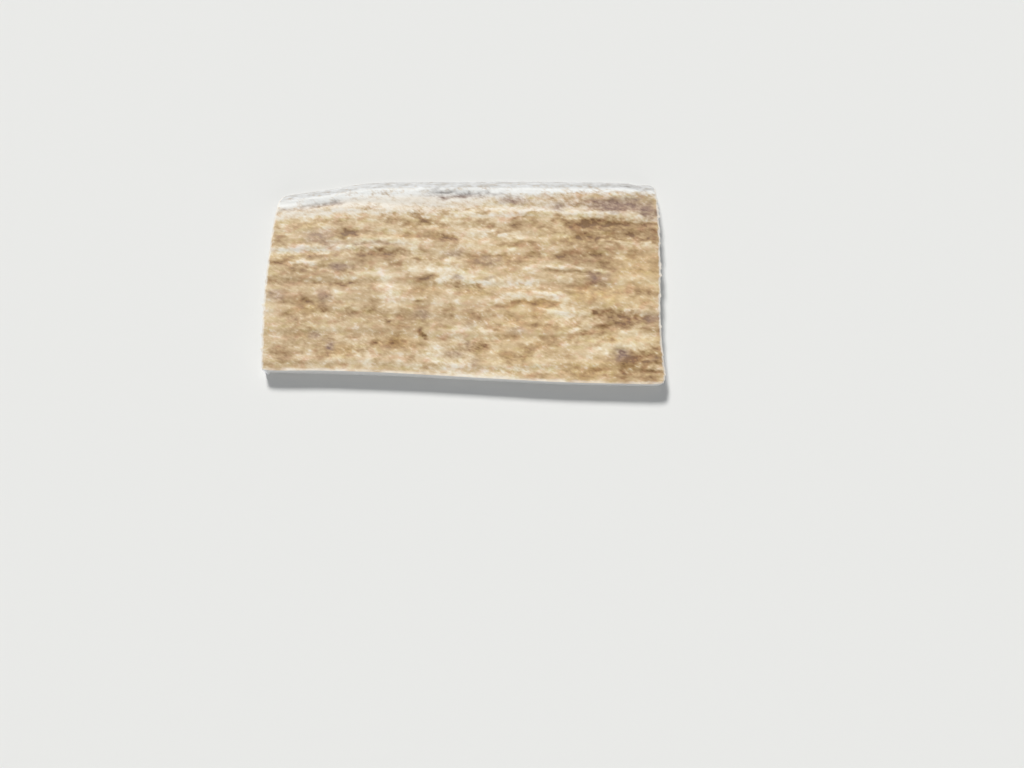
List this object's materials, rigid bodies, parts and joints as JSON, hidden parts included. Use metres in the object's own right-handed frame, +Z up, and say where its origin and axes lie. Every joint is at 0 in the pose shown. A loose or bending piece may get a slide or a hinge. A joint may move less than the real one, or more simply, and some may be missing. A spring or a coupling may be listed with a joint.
{
  "type": "moose antler slab",
  "caption": "Thin flat slab sawn from a moose antler, natural bark on top and along the back edge, saw cuts on the other sides; stock for carving a knife handle scale.",
  "frame": {"origin": "centre of the bounding box's underside: the sawn underside lies on z = 0", "axes": "+X along the antler's grain, +Y from the sawn front edge to the natural back edge, +Z up out of the bark"},
  "size_m": [0.1225, 0.0706, 0.0056],
  "materials": {
    "antler": "matte"
  },
  "bodies": {
    "root": {"antler_slab": "antler"}
  },
  "joints": []
}
